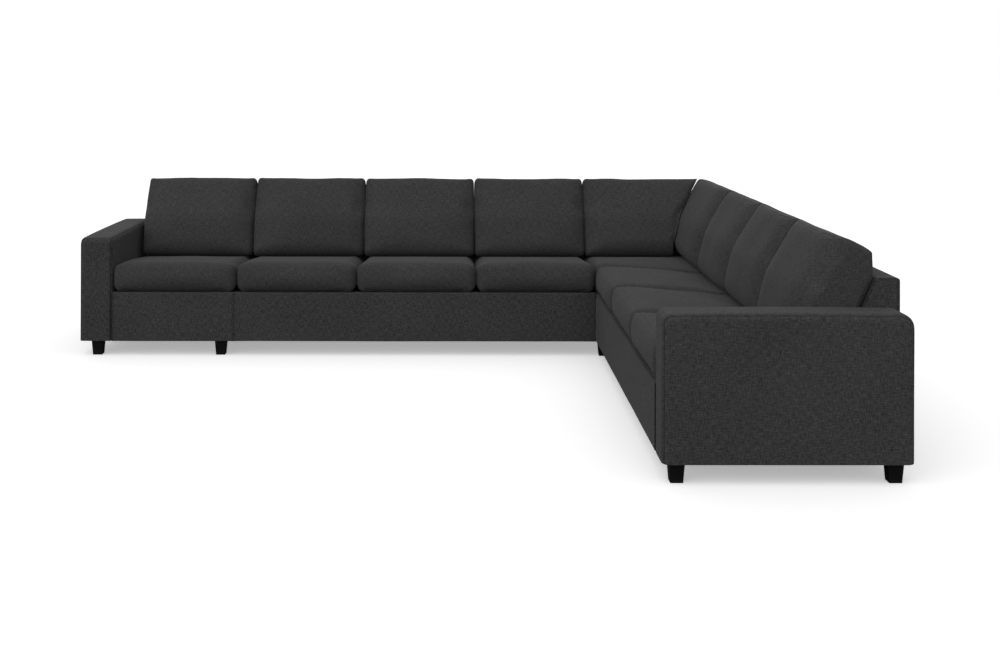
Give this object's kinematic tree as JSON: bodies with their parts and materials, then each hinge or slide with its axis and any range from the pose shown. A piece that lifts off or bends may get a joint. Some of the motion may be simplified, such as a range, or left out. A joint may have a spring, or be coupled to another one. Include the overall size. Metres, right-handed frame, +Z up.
{
  "type": "corner sofa",
  "caption": "Modular corner sofa in charcoal fabric: box arms, tapered feet, leaning backs and loose seat and back cushions that lift off.",
  "frame": {"origin": "On the floor, under the middle of the sofa's overall box.", "axes": "+X runs along the long side from its arm to the corner, +Y points to the long side's rear, +Z is up."},
  "size_m": [3.49, 2.88, 0.8456],
  "materials": {
    "cushion_fabric": "charcoal melange weave",
    "upholstery": "charcoal melange weave over wadding",
    "dust_cloth": "black non-woven cloth",
    "webbing": "elastic webbing",
    "deck_pad": "felt pad",
    "board": "bare hardboard",
    "timber": "sawn pine and plywood",
    "foot_finish": "black lacquer, satin",
    "zinc_steel": "zinc plated"
  },
  "bodies": {
    "frame": {"corner_back_boards": "board", "corner_back_cover": "upholstery", "corner_back_frame": "timber", "corner_base_frame": "timber", "corner_dust_cover": "dust_cloth", "corner_feet": "foot_finish", "corner_seat_deck": "deck_pad", "corner_seat_webbing": "webbing", "foot_studs": "zinc_steel", "joining_bolts": "zinc_steel", "joining_nuts": "zinc_steel", "left_arm_cover": "upholstery", "left_arm_frame": "timber", "left_back_boards": "board", "left_back_cover": "upholstery", "left_back_frame": "timber", "left_base_cover": "upholstery", "left_base_frame": "timber", "left_dust_cover": "dust_cloth", "left_feet": "foot_finish", "left_seat_deck": "deck_pad", "left_seat_webbing": "webbing", "middle_back_boards": "board", "middle_back_cover": "upholstery", "middle_back_frame": "timber", "middle_base_cover": "upholstery", "middle_base_frame": "timber", "middle_dust_cover": "dust_cloth", "middle_feet": "foot_finish", "middle_seat_deck": "deck_pad", "middle_seat_webbing": "webbing", "right_arm_cover": "upholstery", "right_arm_frame": "timber", "wing_back_boards": "board", "wing_back_cover": "upholstery", "wing_back_frame": "timber", "wing_base_cover": "upholstery", "wing_base_frame": "timber", "wing_dust_cover": "dust_cloth", "wing_feet": "foot_finish", "wing_seat_deck": "deck_pad", "wing_seat_webbing": "webbing"},
    "seat_cushion_1": {"seat_cushion_1": "cushion_fabric"},
    "back_cushion_1": {"back_cushion_1": "cushion_fabric"},
    "seat_cushion_2": {"seat_cushion_2": "cushion_fabric"},
    "back_cushion_2": {"back_cushion_2": "cushion_fabric"},
    "seat_cushion_3": {"seat_cushion_3": "cushion_fabric"},
    "back_cushion_3": {"back_cushion_3": "cushion_fabric"},
    "seat_cushion_4": {"seat_cushion_4": "cushion_fabric"},
    "back_cushion_4": {"back_cushion_4": "cushion_fabric"},
    "wing_seat_cushion_1": {"wing_seat_cushion_1": "cushion_fabric"},
    "wing_back_cushion_1": {"wing_back_cushion_1": "cushion_fabric"},
    "wing_seat_cushion_2": {"wing_seat_cushion_2": "cushion_fabric"},
    "wing_back_cushion_2": {"wing_back_cushion_2": "cushion_fabric"},
    "wing_seat_cushion_3": {"wing_seat_cushion_3": "cushion_fabric"},
    "wing_back_cushion_3": {"wing_back_cushion_3": "cushion_fabric"},
    "corner_seat_cushion": {"corner_seat_cushion": "cushion_fabric"},
    "corner_side_back_cushion": {"corner_side_back_cushion": "cushion_fabric"},
    "corner_rear_back_cushion": {"corner_rear_back_cushion": "cushion_fabric"}
  },
  "joints": [
    {"name": "seat_cushion_1_lift", "type": "slide", "parent": "frame", "child": "seat_cushion_1", "axis": [0, 0, 1], "range_m": [0, 0.3]},
    {"name": "back_cushion_1_lift", "type": "slide", "parent": "seat_cushion_1", "child": "back_cushion_1", "axis": [0, 0, 1], "range_m": [0, 0.3]},
    {"name": "seat_cushion_2_lift", "type": "slide", "parent": "frame", "child": "seat_cushion_2", "axis": [0, 0, 1], "range_m": [0, 0.3]},
    {"name": "back_cushion_2_lift", "type": "slide", "parent": "seat_cushion_2", "child": "back_cushion_2", "axis": [0, 0, 1], "range_m": [0, 0.3]},
    {"name": "seat_cushion_3_lift", "type": "slide", "parent": "frame", "child": "seat_cushion_3", "axis": [0, 0, 1], "range_m": [0, 0.3]},
    {"name": "back_cushion_3_lift", "type": "slide", "parent": "seat_cushion_3", "child": "back_cushion_3", "axis": [0, 0, 1], "range_m": [0, 0.3]},
    {"name": "seat_cushion_4_lift", "type": "slide", "parent": "frame", "child": "seat_cushion_4", "axis": [0, 0, 1], "range_m": [0, 0.3]},
    {"name": "back_cushion_4_lift", "type": "slide", "parent": "seat_cushion_4", "child": "back_cushion_4", "axis": [0, 0, 1], "range_m": [0, 0.3]},
    {"name": "wing_seat_cushion_1_lift", "type": "slide", "parent": "frame", "child": "wing_seat_cushion_1", "axis": [0, 0, 1], "range_m": [0, 0.3]},
    {"name": "wing_back_cushion_1_lift", "type": "slide", "parent": "wing_seat_cushion_1", "child": "wing_back_cushion_1", "axis": [0, 0, 1], "range_m": [0, 0.3]},
    {"name": "wing_seat_cushion_2_lift", "type": "slide", "parent": "frame", "child": "wing_seat_cushion_2", "axis": [0, 0, 1], "range_m": [0, 0.3]},
    {"name": "wing_back_cushion_2_lift", "type": "slide", "parent": "wing_seat_cushion_2", "child": "wing_back_cushion_2", "axis": [0, 0, 1], "range_m": [0, 0.3]},
    {"name": "wing_seat_cushion_3_lift", "type": "slide", "parent": "frame", "child": "wing_seat_cushion_3", "axis": [0, 0, 1], "range_m": [0, 0.3]},
    {"name": "wing_back_cushion_3_lift", "type": "slide", "parent": "wing_seat_cushion_3", "child": "wing_back_cushion_3", "axis": [0, 0, 1], "range_m": [0, 0.3]},
    {"name": "corner_seat_cushion_lift", "type": "slide", "parent": "frame", "child": "corner_seat_cushion", "axis": [0, 0, 1], "range_m": [0, 0.3]},
    {"name": "corner_side_back_cushion_lift", "type": "slide", "parent": "corner_seat_cushion", "child": "corner_side_back_cushion", "axis": [0, 0, 1], "range_m": [0, 0.3]},
    {"name": "corner_rear_back_cushion_lift", "type": "slide", "parent": "corner_side_back_cushion", "child": "corner_rear_back_cushion", "axis": [0, 0, 1], "range_m": [0, 0.3]}
  ]
}
